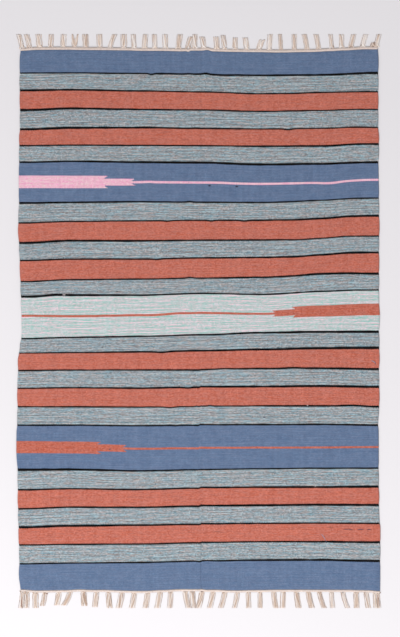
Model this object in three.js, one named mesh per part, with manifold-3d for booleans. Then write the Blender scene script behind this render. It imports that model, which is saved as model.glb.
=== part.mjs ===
// A hand-woven kilim rug lying flat: one cotton cloth with a cream heading at each end, and beyond
// each heading the warp ends, gathered into bunches and trimmed along a straight line.
// Millimetres, +Z up. X runs across the rug, Y along it, and its underside lies at Z = 0.

import * as THREE from "three";
import { mergeVertices } from "three/addons/utils/BufferGeometryUtils.js";
import Module from "manifold-3d";

// Cloth
const RUG_WIDTH = 1200;
const RUG_LENGTH = 1800;
const CLOTH_THICKNESS = 4;
const EDGE_ROUNDING = 1;
const STEPS_ALONG = 72;
const STEPS_ACROSS = 48;

// Headings and fringes
const PIECE_GAP = 0.3;
const HEADING_THICKNESS = 3.4;
const TOP_HEADING_WIDTH = 10;
const BOTTOM_HEADING_WIDTH = 8;
const TOP_TRIM_LINE = 955;
const BOTTOM_TRIM_LINE = 961;

// Strands of a bunch: each is a loosely twisted yarn, flat on the floor
const STRAND_WIDTH = 3.3;
const STRAND_HEIGHT = 3;
const STRAND_PITCH = 3.8;
const STRAND_STEPS = 3;
const ROOT_DEPTH = 4;
const TOP_FACE_SHARE = 0.6;
const TIP_SHARE = 0.7;
const LEAN_CURVE = 1.4;
const UNEVEN_TRIM = [0, 2.4, 0.9, 1.8];

// How far the two selvedges stand out from straight lines, at places along the rug
const SELVEDGES = [
  { along: -900, left: -4, right: 4 },
  { along: -800, left: -3, right: 5 },
  { along: -700, left: 1, right: 4 },
  { along: -600, left: 5, right: 2 },
  { along: -500, left: 5, right: 1 },
  { along: -400, left: 10, right: -1 },
  { along: -300, left: 7, right: -2 },
  { along: -200, left: 5, right: 2 },
  { along: -100, left: -1, right: 3 },
  { along: 0, left: -9, right: 1 },
  { along: 100, left: -7, right: -1 },
  { along: 200, left: -3, right: 1 },
  { along: 300, left: 3, right: 3 },
  { along: 400, left: 1, right: 0 },
  { along: 500, left: 0, right: -2 },
  { along: 600, left: 1, right: 2 },
  { along: 700, left: -1, right: 0 },
  { along: 800, left: -3, right: -3 },
  { along: 900, left: -4, right: -2 },
];

// How far the two woven ends stand out from straight lines, at places across the rug
const ENDS = [
  { across: -600, top: -3, bottom: 1 },
  { across: -450, top: 1, bottom: 3 },
  { across: -330, top: -1, bottom: 0 },
  { across: -220, top: -1, bottom: 3 },
  { across: -60, top: -3, bottom: -1 },
  { across: 25, top: 0, bottom: -1 },
  { across: 50, top: -3, bottom: 0 },
  { across: 200, top: -7, bottom: 2 },
  { across: 350, top: -5, bottom: 1 },
  { across: 480, top: 0, bottom: 1 },
  { across: 600, top: 3, bottom: 2 },
];

// The bunches of each fringe. root is the place across the rug, lean how far the tip lies to one
// side of the root, short how far the tip stops before the trim line, strands the yarns in the
// bunch, and fork how far its two halves part at the tip.
const TOP_BUNCHES = [
  { root: -590, lean: -12, short: 0, strands: 3, fork: 0 },
  { root: -566, lean: -10, short: 0, strands: 3, fork: 0 },
  { root: -532, lean: -4, short: 0, strands: 4, fork: 0 },
  { root: -495, lean: 2, short: 0, strands: 3, fork: 1 },
  { root: -453, lean: 1, short: 0, strands: 4, fork: 0 },
  { root: -415, lean: 2, short: 0, strands: 4, fork: 13 },
  { root: -377, lean: -3, short: 0, strands: 4, fork: 2 },
  { root: -331, lean: -1, short: 0, strands: 4, fork: 1 },
  { root: -296, lean: 16, short: 0, strands: 3, fork: 1 },
  { root: -251, lean: -1, short: 0, strands: 4, fork: 0 },
  { root: -217, lean: -2, short: 0, strands: 3, fork: 0 },
  { root: -181, lean: 3, short: 0, strands: 3, fork: 2 },
  { root: -147, lean: -2, short: 0, strands: 3, fork: 1 },
  { root: -112, lean: -2, short: 0, strands: 3, fork: 0 },
  { root: -69, lean: 6, short: 0, strands: 4, fork: 2 },
  { root: -37, lean: 11, short: 8, strands: 3, fork: 0 },
  { root: -14, lean: 0, short: 0, strands: 3, fork: 1 },
  { root: 16, lean: -6, short: 8, strands: 3, fork: 1 },
  { root: 60, lean: -2, short: 8, strands: 4, fork: 1 },
  { root: 85, lean: -5, short: 3, strands: 3, fork: 1 },
  { root: 120, lean: 0, short: 11, strands: 3, fork: 2 },
  { root: 160, lean: -6, short: 11, strands: 4, fork: 1 },
  { root: 199, lean: 13, short: 18, strands: 4, fork: 6 },
  { root: 234, lean: 4, short: 0, strands: 3, fork: 0 },
  { root: 273, lean: -3, short: 0, strands: 2, fork: 1 },
  { root: 318, lean: -1, short: 0, strands: 3, fork: 0 },
  { root: 360, lean: -9, short: 0, strands: 3, fork: 1 },
  { root: 399, lean: -9, short: 0, strands: 3, fork: 1 },
  { root: 443, lean: -5, short: 0, strands: 2, fork: 1 },
  { root: 476, lean: -1, short: 0, strands: 3, fork: 3 },
  { root: 507, lean: 10, short: 0, strands: 3, fork: 0 },
  { root: 545, lean: 12, short: 0, strands: 3, fork: 1 },
  { root: 581, lean: 0, short: 28, strands: 2, fork: 1 },
  { root: 592, lean: 9, short: 0, strands: 3, fork: 0 },
];
const BOTTOM_BUNCHES = [
  { root: -588, lean: -7, short: 0, strands: 3, fork: 0 },
  { root: -574, lean: -2, short: 0, strands: 3, fork: 0 },
  { root: -546, lean: 1, short: 0, strands: 4, fork: 0 },
  { root: -514, lean: -9, short: 7, strands: 3, fork: 1 },
  { root: -468, lean: -7, short: 9, strands: 4, fork: 1 },
  { root: -429, lean: -22, short: 9, strands: 4, fork: 0 },
  { root: -385, lean: 3, short: 7, strands: 4, fork: 4 },
  { root: -342, lean: -5, short: 3, strands: 4, fork: 1 },
  { root: -302, lean: 5, short: 0, strands: 4, fork: 5 },
  { root: -258, lean: -11, short: 0, strands: 4, fork: 0 },
  { root: -216, lean: -8, short: 0, strands: 4, fork: 0 },
  { root: -172, lean: -7, short: 0, strands: 4, fork: 1 },
  { root: -130, lean: -10, short: 0, strands: 4, fork: 0 },
  { root: -94, lean: -4, short: 0, strands: 3, fork: 1 },
  { root: -46, lean: 12, short: 0, strands: 4, fork: 0 },
  { root: -22, lean: 4, short: 0, strands: 3, fork: 1 },
  { root: 10, lean: -13, short: 0, strands: 4, fork: 0 },
  { root: 47, lean: -12, short: 0, strands: 4, fork: 0 },
  { root: 86, lean: -14, short: 0, strands: 3, fork: 1 },
  { root: 128, lean: -10, short: 0, strands: 3, fork: 0 },
  { root: 164, lean: 1, short: 0, strands: 3, fork: 1 },
  { root: 204, lean: 0, short: 0, strands: 3, fork: 2 },
  { root: 249, lean: 8, short: 0, strands: 3, fork: 1 },
  { root: 281, lean: -2, short: 0, strands: 3, fork: 0 },
  { root: 325, lean: 8, short: 0, strands: 4, fork: 1 },
  { root: 365, lean: 12, short: 0, strands: 4, fork: 1 },
  { root: 401, lean: 17, short: 0, strands: 3, fork: 0 },
  { root: 441, lean: 5, short: 0, strands: 3, fork: 0 },
  { root: 479, lean: 17, short: 0, strands: 3, fork: 0 },
  { root: 524, lean: 2, short: 0, strands: 4, fork: 3 },
  { root: 558, lean: 7, short: 0, strands: 3, fork: 0 },
  { root: 587, lean: 3, short: 0, strands: 2, fork: 0 },
  { root: 596, lean: 5, short: 0, strands: 2, fork: 0 },
];

// Weft colours that the cloth shows most, and the undyed cotton of the warp
const COTTON_WEFT = new THREE.MeshStandardMaterial({ color: "#8c9aa6", roughness: 0.9, metalness: 0 });
const UNDYED_COTTON = new THREE.MeshStandardMaterial({ color: "#d9c8b4", roughness: 0.95, metalness: 0 });

// The value of one column of a table at a place between its rows, eased from row to row.
function between(rows, placeColumn, place, column) {
  const last = rows.length - 1;
  const found = rows.findIndex((row) => row[placeColumn] >= place);
  const next = found < 0 ? last : Math.max(found, 1);
  const before = rows[next - 1];
  const after = rows[next];
  const share = THREE.MathUtils.smoothstep(place, before[placeColumn], after[placeColumn]);
  return THREE.MathUtils.lerp(before[column], after[column], share);
}

function selvedgeX(side, along) {
  const outwards = side === "left" ? -1 : 1;
  return outwards * (RUG_WIDTH / 2 + between(SELVEDGES, "along", along, side));
}

function endY(end, across) {
  const outwards = end === "bottom" ? -1 : 1;
  return outwards * (RUG_LENGTH / 2 + between(ENDS, "across", across, end));
}

// The woven end from the left selvedge to the right one.
function endPoints(end) {
  const nominalEnd = end === "bottom" ? -RUG_LENGTH / 2 : RUG_LENGTH / 2;
  const leftX = selvedgeX("left", nominalEnd);
  const rightX = selvedgeX("right", nominalEnd);
  return Array.from({ length: STEPS_ACROSS + 1 }, (_, step) => {
    const x = THREE.MathUtils.lerp(leftX, rightX, step / STEPS_ACROSS);
    return new THREE.Vector2(x, endY(end, x));
  });
}

// The selvedge between the two woven ends, without the corners, from the lower end up.
function selvedgePoints(side) {
  const nominalX = side === "left" ? -RUG_WIDTH / 2 : RUG_WIDTH / 2;
  const lowY = endY("bottom", nominalX);
  const highY = endY("top", nominalX);
  return Array.from({ length: STEPS_ALONG - 1 }, (_, step) => {
    const y = THREE.MathUtils.lerp(lowY, highY, (step + 1) / STEPS_ALONG);
    return new THREE.Vector2(selvedgeX(side, y), y);
  });
}

// The cloth: the uneven outline, as thick as the weave, with its edges rounded off.
function fieldGeometry() {
  const outline = new THREE.Shape([
    ...endPoints("bottom"),
    ...selvedgePoints("right"),
    ...endPoints("top").reverse(),
    ...selvedgePoints("left").reverse(),
  ]);
  const cloth = new THREE.ExtrudeGeometry(outline, {
    depth: CLOTH_THICKNESS - 2 * EDGE_ROUNDING,
    bevelThickness: EDGE_ROUNDING,
    bevelSize: EDGE_ROUNDING,
    bevelOffset: -EDGE_ROUNDING,
    bevelSegments: 1,
  });
  return cloth.translate(0, 0, EDGE_ROUNDING);
}

// The heading: a narrow strip that follows the woven end.
function headingGeometry(end, width) {
  const outwards = end === "bottom" ? -1 : 1;
  const inner = endPoints(end).map((point) => new THREE.Vector2(point.x, point.y + outwards * PIECE_GAP));
  const outer = inner.map((point) => new THREE.Vector2(point.x, point.y + outwards * width));
  const outline = new THREE.Shape([...inner, ...outer.reverse()]);
  return new THREE.ExtrudeGeometry(outline, { depth: HEADING_THICKNESS, bevelEnabled: false });
}

// One strand that runs up +Y from the origin, flat underneath. sideways gives how far it has
// moved in X at a distance from its root; it narrows upwards and at its tip.
function strandGeometry(length, sideways) {
  const strand = new THREE.BoxGeometry(STRAND_WIDTH, length, STRAND_HEIGHT, 1, STRAND_STEPS, 1);
  strand.translate(0, length / 2, STRAND_HEIGHT / 2);
  const corners = strand.attributes.position;
  const lastStep = length * (1 - 0.5 / STRAND_STEPS);
  for (let i = 0; i < corners.count; i += 1) {
    const distance = Math.max(corners.getY(i), 0);
    const tipShare = distance > lastStep ? TIP_SHARE : 1;
    const faceShare = corners.getZ(i) > 0 ? TOP_FACE_SHARE : 1;
    corners.setX(i, corners.getX(i) * faceShare * tipShare + sideways(distance));
    corners.setZ(i, corners.getZ(i) * tipShare);
  }
  return strand;
}

// The strands of one bunch, turned to run away from the cloth and set into the heading's edge.
function bunchGeometries(end, bunch, headingWidth, trimLine) {
  const outwards = end === "bottom" ? -1 : 1;
  const headingEdge = Math.abs(endY(end, bunch.root)) + PIECE_GAP + headingWidth;
  const start = headingEdge - ROOT_DEPTH;
  const reach = trimLine - bunch.short - start;
  return Array.from({ length: bunch.strands }, (_, index) => {
    const fromMiddle = index - (bunch.strands - 1) / 2;
    const parting = (Math.sign(fromMiddle) * bunch.fork) / 2;
    const sideways = (distance) => {
      const share = distance / reach;
      return outwards * (bunch.lean * share ** LEAN_CURVE) + parting * share;
    };
    const strand = strandGeometry(reach - UNEVEN_TRIM[index], sideways);
    if (end === "bottom") {
      strand.rotateZ(Math.PI);
    }
    return strand.translate(bunch.root + outwards * fromMiddle * STRAND_PITCH, outwards * start, 0);
  });
}

const wasm = await Module();
wasm.setup();

function toSolid(geometry) {
  const bare = geometry.clone();
  bare.deleteAttribute("normal");
  bare.deleteAttribute("uv");
  const merged = mergeVertices(bare);
  return new wasm.Manifold(
    new wasm.Mesh({
      numProp: 3,
      vertProperties: new Float32Array(merged.attributes.position.array),
      triVerts: new Uint32Array(merged.index.array),
    }),
  );
}

function toGeometry(solid) {
  const mesh = solid.getMesh();
  const geometry = new THREE.BufferGeometry();
  geometry.setAttribute("position", new THREE.BufferAttribute(mesh.vertProperties, 3));
  geometry.setIndex(new THREE.BufferAttribute(mesh.triVerts, 1));
  geometry.computeVertexNormals();
  return geometry;
}

// A heading with all its bunches, fused at their roots.
function fringeGeometry(end, bunches, headingWidth, trimLine) {
  let fringe = toSolid(headingGeometry(end, headingWidth));
  for (const bunch of bunches) {
    for (const strand of bunchGeometries(end, bunch, headingWidth, trimLine)) {
      fringe = fringe.add(toSolid(strand));
    }
  }
  return toGeometry(fringe);
}

function namedMesh(name, geometry, material) {
  const mesh = new THREE.Mesh(geometry, material);
  mesh.name = name;
  return mesh;
}

const rug = new THREE.Group();
rug.add(
  namedMesh("field", fieldGeometry(), COTTON_WEFT),
  namedMesh(
    "fringe_top",
    fringeGeometry("top", TOP_BUNCHES, TOP_HEADING_WIDTH, TOP_TRIM_LINE),
    UNDYED_COTTON,
  ),
  namedMesh(
    "fringe_bottom",
    fringeGeometry("bottom", BOTTOM_BUNCHES, BOTTOM_HEADING_WIDTH, BOTTOM_TRIM_LINE),
    UNDYED_COTTON,
  ),
);

// The origin is the middle of the whole rug's footprint, on the floor.
const middle = new THREE.Box3().setFromObject(rug).getCenter(new THREE.Vector3());
rug.position.set(-middle.x, -middle.y, 0);

export default rug;
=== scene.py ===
# A hand-woven kilim rug lying flat on a pale floor, seen from straight above.
# Sizes and tables are in millimetres unless a name says otherwise; meshes are in metres.
# "Across" runs over the rug from the left selvedge to the right one, "along" from its lower end up,
# both from the middle of the cloth. A course is the path of one weft yarn from selvedge to selvedge.

import math
from collections import namedtuple

import bpy
import numpy as np
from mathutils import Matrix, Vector, noise


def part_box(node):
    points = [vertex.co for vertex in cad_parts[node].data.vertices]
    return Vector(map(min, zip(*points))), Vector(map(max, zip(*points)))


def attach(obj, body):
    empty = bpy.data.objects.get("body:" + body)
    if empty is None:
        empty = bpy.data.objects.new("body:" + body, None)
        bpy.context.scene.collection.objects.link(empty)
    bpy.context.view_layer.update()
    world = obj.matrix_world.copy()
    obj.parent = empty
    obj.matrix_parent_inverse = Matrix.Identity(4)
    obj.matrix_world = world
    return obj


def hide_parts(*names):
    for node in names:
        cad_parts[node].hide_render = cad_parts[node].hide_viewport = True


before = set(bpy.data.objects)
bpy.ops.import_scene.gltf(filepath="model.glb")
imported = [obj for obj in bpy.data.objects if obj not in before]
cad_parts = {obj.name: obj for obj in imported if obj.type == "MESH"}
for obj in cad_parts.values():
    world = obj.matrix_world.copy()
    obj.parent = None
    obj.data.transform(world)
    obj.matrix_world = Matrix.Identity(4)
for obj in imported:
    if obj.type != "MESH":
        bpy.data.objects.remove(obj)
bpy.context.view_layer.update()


# The woven cloth
# One piece of cotton flatweave, 4 mm thick. The dyed weft is beaten down so tightly over the undyed
# warp that it hides it, and lies over it as ribs that run along the rug. The stripes, the thin black
# lines and the toothed bars are changes of weft in this one cloth, and nothing is sewn on.

MM = 0.001
CLOTH_WIDTH = 1200
CLOTH_LENGTH = 1800
CLOTH_THICKNESS = 4
# The ribs lie over the warp's yarns. The turns of the weft over them are its beads, really about
# 1 mm high and too fine to show, so beads and courses are drawn as coarse as they need to show.
RIB_PITCH = 4
RIB_DEPTH = 0.35
BEAD_PITCH = 1.65
BEADS_PER_COURSE = 2
# How far the ribs' depth varies, over what length, and the layer of the noise that this comes from
UNEVEN_RIBS_SHARE = 0.4
UNEVEN_RIBS_LENGTH = 60
UNEVEN_RIBS_LAYER = 9.5
# The mesh shows the ribs on the face only. The underside has one column for so many of them.
COLUMNS_PER_RIB = 2
RIBS_PER_UNDER_COLUMN = 5
ROW_SPACING = 17
# The mesh has closer rows in the stripe that a sharp slanting crease crosses
CREASED_STRIPE = 2
CREASED_ROW_SPACING = 4
ROW_WOBBLE = 0.6
WOBBLE_LENGTH = 45
WOBBLE_LAYER = 0.5
RIPPLE_HEIGHT = 0.9
RIPPLE_LENGTH = 210
RIPPLE_LAYER = 0.5
# How far a black line draws the selvedge in, and how far the face drops just inside it
SELVEDGE_PULL = 1.2
SELVEDGE_DROP = 0.7
# The face hardly drops at the woven ends, because the warp goes on there
WOVEN_END_INSETS = (1.2, 3.6)
WOVEN_END_HEIGHT = 3.2
WOVEN_END_DROP = 0.2

Selvedge = namedtuple("Selvedge", "along left right")
WovenEnd = namedtuple("WovenEnd", "across top bottom")
Stripe = namedtuple("Stripe", "weft upper rises line_widths")
BarStep = namedtuple("BarStep", "half_height end prong")
Bar = namedtuple("Bar", "yarn selvedge along rises steps")
Jog = namedtuple("Jog", "across along half_width reach rise")
FoldStep = namedtuple("FoldStep", "along rise")
Crease = namedtuple("Crease", "start end half_width height")

# How far the two selvedges stand out from straight lines
SELVEDGES = [
    Selvedge(-900, -5, 3.6),
    Selvedge(-850, 1, 4),
    Selvedge(-800, -0.3, 4.3),
    Selvedge(-700, 2.3, 4.8),
    Selvedge(-640, 4, 0.2),
    Selvedge(-600, 5.1, 1),
    Selvedge(-534, 5, -0.4),
    Selvedge(-500, 5.9, -0.6),
    Selvedge(-435, 9.2, -0.9),
    Selvedge(-380, 8.8, -1),
    Selvedge(-334, 6.7, -2.3),
    Selvedge(-284, 5.8, 1.7),
    Selvedge(-234, 6.9, 2),
    Selvedge(-184, 4.4, 0.2),
    Selvedge(-130, 4.2, 2.2),
    Selvedge(-84, -3, 1.7),
    Selvedge(-40, -9.4, 0.6),
    Selvedge(15, -8.5, 3.2),
    Selvedge(60, -6.2, 0.2),
    Selvedge(100, -4.6, 0.6),
    Selvedge(200, -1.5, 1),
    Selvedge(255, 1, 0.5),
    Selvedge(300, 3.8, 2),
    Selvedge(400, 0.9, 0.6),
    Selvedge(500, 0.6, -1.4),
    Selvedge(600, 0.2, 0.9),
    Selvedge(660, -2.6, -2.6),
    Selvedge(700, -2, -1.8),
    Selvedge(800, -1.3, -1.8),
    Selvedge(870, -1.8, -1.2),
    Selvedge(900, -5, -3.5),
]

# How far the two woven ends stand out from straight lines
ENDS = [
    WovenEnd(-600, -2, -3.2),
    WovenEnd(-545, 1, 0.2),
    WovenEnd(-450, 1.5, -1.2),
    WovenEnd(-400, 0.8, -3.7),
    WovenEnd(-362, 0.3, -2),
    WovenEnd(-325, 0.1, -2.1),
    WovenEnd(-245, -0.7, 0.6),
    WovenEnd(-190, -2.2, 1.6),
    WovenEnd(-130, -2.2, -1.3),
    WovenEnd(-60, -3.7, -4.5),
    WovenEnd(-20, -1.4, -4.5),
    WovenEnd(25, -1.3, -2.7),
    WovenEnd(45, -4, -2.7),
    WovenEnd(115, -5.6, -0.2),
    WovenEnd(190, -6.4, -1.5),
    WovenEnd(262, -7.8, -2.7),
    WovenEnd(372, -6.1, -2.6),
    WovenEnd(445, -3, -2.5),
    WovenEnd(482, -0.8, -2.4),
    WovenEnd(560, 3, -0.7),
    WovenEnd(600, 3, 2.2),
]

# The places across the cloth where the tables say how far a course has bowed up from a straight
# line, and those where they say how wide a black line is
BOW_PLACES = (-580, -430, -195, 5, 205, 405, 585)
LINE_PLACES = (-550, 0, 550)
# A black line also swells and thins over short lengths, by this share of its width
UNEVEN_LINE_SHARE = 0.2
UNEVEN_LINE_LENGTH = 20
UNEVEN_LINE_LAYER = 0.3

# The stripes from the lower end up. A black line lies along the upper edge of each but the last,
# with its middle at upper, and rises and line_widths are for the places above.
STRIPES = [
    Stripe("blue", -804.4, (-7.4, -5, -3, 2, 5, 6, 2), (5.3, 5.3, 7.6)),
    Stripe("heather", -743, (-6, -4, -3, 2, 5, 5, 3), (5.3, 5.1, 7)),
    Stripe("coral", -681, (-9, -4, -2, 2, 4, 5, 4), (8.4, 5.4, 5.2)),
    Stripe("heather", -620.6, (-8, -2.4, -3, 2, 4, 5.8, 5), (5.5, 7, 7.9)),
    Stripe("coral", -559.5, (-5.4, -2, -5, 1, 3.4, 3.8, 5), (5.7, 5.4, 8.1)),
    Stripe("heather", -497, (-1.4, -0.4, -5, -1, 2, 4, 4), (8, 5.1, 5.1)),
    Stripe("blue with coral bar", -349, (-1, -0.8, -2.6, 0, 1, 2, -0.6), (5.6, 5.1, 6.2)),
    Stripe("heather", -287.3, (-1, -1, -2, 0, 2, 2, -1), (4.9, 4.6, 6.6)),
    Stripe("coral", -223, (-4, -2, -3.4, 0.8, 2, 4, 1), (5.1, 6.2, 8.1)),
    Stripe("heather", -164.6, (-3, -1.2, -1, -1, 3.4, 4.6, 2), (5.3, 5.3, 7)),
    Stripe("coral", -100.5, (-9, -7.4, -5, -1, 3, 7.6, 8.6), (4.9, 6.5, 8.3)),
    Stripe("heather", -48.5, (-13, -8.6, -5, 0, 7.4, 10, 10), (5.6, 5.8, 8.5)),
    Stripe("mint with coral bar", 88.3, (-9.6, -4.6, -4.6, 1, -2.4, 8, 12.4), (8.4, 5.4, 5.2)),
    Stripe("heather", 142.2, (-13.6, -7, -5, -2, 1, 13, 13), (5.4, 5.3, 7.2)),
    Stripe("coral", 209.8, (-10.6, -6, -6, -2, -0.4, 9, 16), (5.4, 5.7, 7.4)),
    Stripe("heather", 267.8, (-10, -2.4, -3, -1, -0.4, 6, 12.6), (7.7, 5.6, 5)),
    Stripe("coral", 334.2, (-10, -5, -3, -1, -1, 5.4, 14), (4.8, 5.2, 7.6)),
    Stripe("heather", 395.2, (-4.6, -2.4, 0, -2, -2.8, 4.4, 12), (6.2, 5.6, 5.1)),
    Stripe("blue with pink bar", 525.1, (1.6, 4.8, 2, 0.4, -6, -4, 1), (6.3, 7.9, 7.8)),
    Stripe("heather", 582.5, (-0.4, 1, 0, -1, -2.6, -1.6, 4.6), (5.3, 5.1, 6.6)),
    Stripe("coral", 639.3, (-3, 2, 3, 0, -1.6, 0, 3), (8.4, 5.5, 4.8)),
    Stripe("heather", 701, (-0.6, 5, 1.4, 0, -5, -2, 1.4), (7.9, 5.6, 5)),
    Stripe("coral", 762.6, (3.8, 5.6, 1.6, -1.4, -7.6, -3, -1), (6.9, 5.2, 5)),
    Stripe("heather", 821.2, (3, 3, 1.4, -1, -5, -3.6, 3), (4.8, 6.1, 7.4)),
    Stripe("blue", CLOTH_LENGTH / 2, None, (0, 0, 0)),
]

# The toothed bars. Each is woven in from one selvedge in steps that get narrower, given by half its
# height, how far over the cloth it reaches and the length of the two prongs at its end. The last
# step runs on to the other selvedge as a thin line.
PINK_BAR = Bar(
    "pink",
    "left",
    459,
    (3.8, 2.2, 1.8, 0.6, -4, -0.8, 10),
    [BarStep(19.8, -316, 12), BarStep(11.2, -226, 14), BarStep(3.7, CLOTH_WIDTH, 0)],
)
UPPER_CORAL_BAR = Bar(
    "brick",
    "right",
    22,
    (-7, -8.8, -5.6, 2.2, -1.2, 9.2, 15.6),
    [BarStep(18.8, -319, 13), BarStep(10.5, -250, 10), BarStep(3.8, CLOTH_WIDTH, 0)],
)
LOWER_CORAL_BAR = Bar(
    "brick",
    "left",
    -426,
    (5, 3.3, -1.8, 0.2, 1.8, 2, 3.6),
    [BarStep(19.9, -333, 13), BarStep(11.3, -247, 13), BarStep(3.4, CLOTH_WIDTH, 0)],
)
BARS = (PINK_BAR, UPPER_CORAL_BAR, LOWER_CORAL_BAR)

# Short uneven places in the courses, beside the lengthwise fold and where a yarn was joined. Each
# is half_width wide to either side and dies out over its reach along the cloth.
JOGS = [
    Jog(28, 880, 10, 60, 2.5),
    Jog(-37, 900, 5, 12, -3),
    Jog(-160, 822, 9, 20, -3),
    Jog(-34, 822, 12, 20, 1.5),
    Jog(20, 822, 12, 25, 2),
    Jog(78, 821, 40, 20, -1.8),
    Jog(330, 763, 50, 20, -1.8),
    Jog(-12, 642, 14, 40, 1.5),
    Jog(298, 640, 15, 20, -2.8),
    Jog(515, 640, 55, 90, 2.2),
    Jog(-32, 395, 14, 20, 2.2),
    Jog(-104, 334, 12, 15, -2),
    Jog(42, 334, 12, 15, -2.3),
    Jog(152, 334, 14, 15, -2.5),
    Jog(490, 270, 50, 170, 2.8),
    Jog(335, 240, 55, 130, -3.8),
    Jog(-142, 209, 14, 15, -2),
    Jog(-32, 142, 14, 20, 2.8),
    Jog(-490, 87, 35, 25, 2.8),
    Jog(-124, -101, 25, 25, -2.8),
    Jog(78, -164, 45, 30, 2.7),
    Jog(315, -164, 30, 30, 2.2),
    Jog(-35, -226, 16, 15, -2.6),
    Jog(-95, -289, 20, 15, -3),
    Jog(-6, -289, 8, 15, 2.6),
    Jog(38, -289, 8, 15, 2.6),
    Jog(515, -290, 45, 40, 3.5),
    Jog(-74, -349, 10, 20, -1.2),
    Jog(-2, -804, 8, 30, -1.8),
    Jog(24, -804, 14, 30, 1.5),
    Jog(5, -900, 8, 30, 1.5),
    Jog(-165, 459, 18, 20, 1.6),
    Jog(440, 459, 32, 20, -2.4),
    Jog(-90, 22, 40, 20, 1.5),
    Jog(-285, -426, 40, 20, 1.2),
]

# How far the courses right of the lengthwise fold have slipped up past those left of it. The step
# dies out on both sides of the fold.
FOLD_ACROSS = 5
FOLD_STEP_WIDTH = 1.5
FOLD_STEP_REACH = 45
FOLD_STEPS = [
    FoldStep(-860, 0),
    FoldStep(-811, 0.8),
    FoldStep(-749, 2.2),
    FoldStep(-689, 3.4),
    FoldStep(-565, 3.4),
    FoldStep(-499, 1.2),
    FoldStep(-349, 3.6),
    FoldStep(-226, 3),
    FoldStep(-168, 1.2),
    FoldStep(-100, 0),
]

# Soft creases left by folding and rolling. The first five are folds that run along the rug.
CREASES = [
    Crease((6, -900), (6, -740), 2.4, -3.2),
    Crease((6, -740), (4, -300), 3.5, -0.8),
    Crease((9, 560), (11, 900), 6, -1.9),
    Crease((-155, -900), (-155, 900), 5, -0.6),
    Crease((138, -900), (138, 900), 5, -0.6),
    Crease((595, -898), (596, -815), 2.4, -1.4),
    Crease((-130, -739), (-83, -687), 3, -2.7),
    Crease((-537, -838), (-456, -876), 12, -1.5),
    Crease((-387, -118), (-320, -160), 8, -0.8),
    Crease((-95, -352), (-70, -460), 10, -0.9),
    Crease((340, 240), (450, 170), 11, 1.2),
    Crease((150, 20), (330, 60), 13, 0.8),
    Crease((60, 2), (330, -8), 3, -0.9),
    Crease((-420, 560), (-250, 610), 13, 0.8),
    Crease((380, -620), (520, -560), 13, 0.8),
]


def eased(places, values, at):
    """The values between the rows of a table, eased from row to row."""
    places = np.asarray(places, float)
    values = np.asarray(values, float)
    after = np.clip(np.searchsorted(places, at), 1, len(places) - 1)
    share = np.clip((at - places[after - 1]) / (places[after] - places[after - 1]), 0, 1)
    share = share * share * (3 - 2 * share)
    return values[after - 1] + (values[after] - values[after - 1]) * share


def selvedge_x(side, along):
    outwards = -1 if side == "left" else 1
    stands_out = [getattr(row, side) for row in SELVEDGES]
    return outwards * (CLOTH_WIDTH / 2 + eased([row.along for row in SELVEDGES], stands_out, along))


def end_rise(end, across):
    """How far a woven end lies above its straight line: the lower end stands out downwards."""
    upwards = -1 if end == "bottom" else 1
    stands_out = [getattr(row, end) for row in ENDS]
    return upwards * eased([row.across for row in ENDS], stands_out, across)


def course_rise(across, along):
    """How far the course at one place along the cloth has bowed up, for places across it."""
    courses = [(stripe.upper, stripe.rises) for stripe in STRIPES[:-1]]
    courses += [(bar.along, bar.rises) for bar in BARS]
    courses.sort()
    lines = [-CLOTH_LENGTH / 2, *[place for place, rises in courses], CLOTH_LENGTH / 2]
    rises = [
        end_rise("bottom", across),
        *[eased(BOW_PLACES, rises, across) for place, rises in courses],
        end_rise("top", across),
    ]
    after = int(np.clip(np.searchsorted(lines, along), 1, len(lines) - 1))
    share = (along - lines[after - 1]) / (lines[after] - lines[after - 1])
    rise = rises[after - 1] * (1 - share) + rises[after] * share
    for jog in JOGS:
        near = np.exp(-(((across - jog.across) / jog.half_width) ** 2))
        rise = rise + jog.rise * near * math.exp(-(((along - jog.along) / jog.reach) ** 2))
    step = eased([row.along for row in FOLD_STEPS], [row.rise for row in FOLD_STEPS], along)
    from_fold = across - FOLD_ACROSS
    dies_out = np.exp(-np.abs(from_fold) / FOLD_STEP_REACH)
    return rise + step / 2 * np.tanh(from_fold / FOLD_STEP_WIDTH) * dies_out


# The solids' origin is the middle of the rug's footprint, and the tables' origin is the middle of
# the cloth. The field's outermost points lie this far to the right of the cloth's middle and above it.
FIELD_RIGHT = 605
FIELD_TOP = 903
field_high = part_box("field")[1]
ORIGIN_X = field_high.x / MM - FIELD_RIGHT
ORIGIN_Y = field_high.y / MM - FIELD_TOP


def smooth_noise(x, y, length, layer):
    """Even noise from -1 to 1 over places in X and Y, with bumps about one length apart."""
    values = [
        noise.noise(Vector((px / length, py / length, layer)))
        for px, py in zip(np.ravel(x), np.ravel(y))
    ]
    return np.reshape(values, np.shape(x))


def ripple_lift(across, along):
    """How far the slow ripples of the cloth lift it off the floor."""
    ripple = smooth_noise(across, along, RIPPLE_LENGTH, RIPPLE_LAYER)
    return np.maximum(RIPPLE_HEIGHT * (1 + ripple), 0)


def crease_relief(across, along):
    """The creases' soft ridges and troughs in the upper face."""
    relief = 0 * across
    for crease in CREASES:
        run = np.subtract(crease.end, crease.start)
        share = ((across - crease.start[0]) * run[0] + (along - crease.start[1]) * run[1]) / (run @ run)
        share = np.clip(share, 0, 1)
        beside_x = across - crease.start[0] - share * run[0]
        beside_y = along - crease.start[1] - share * run[1]
        distance = np.hypot(beside_x, beside_y)
        relief = relief + crease.height * np.exp(-((distance / crease.half_width) ** 2))
    return relief


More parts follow.
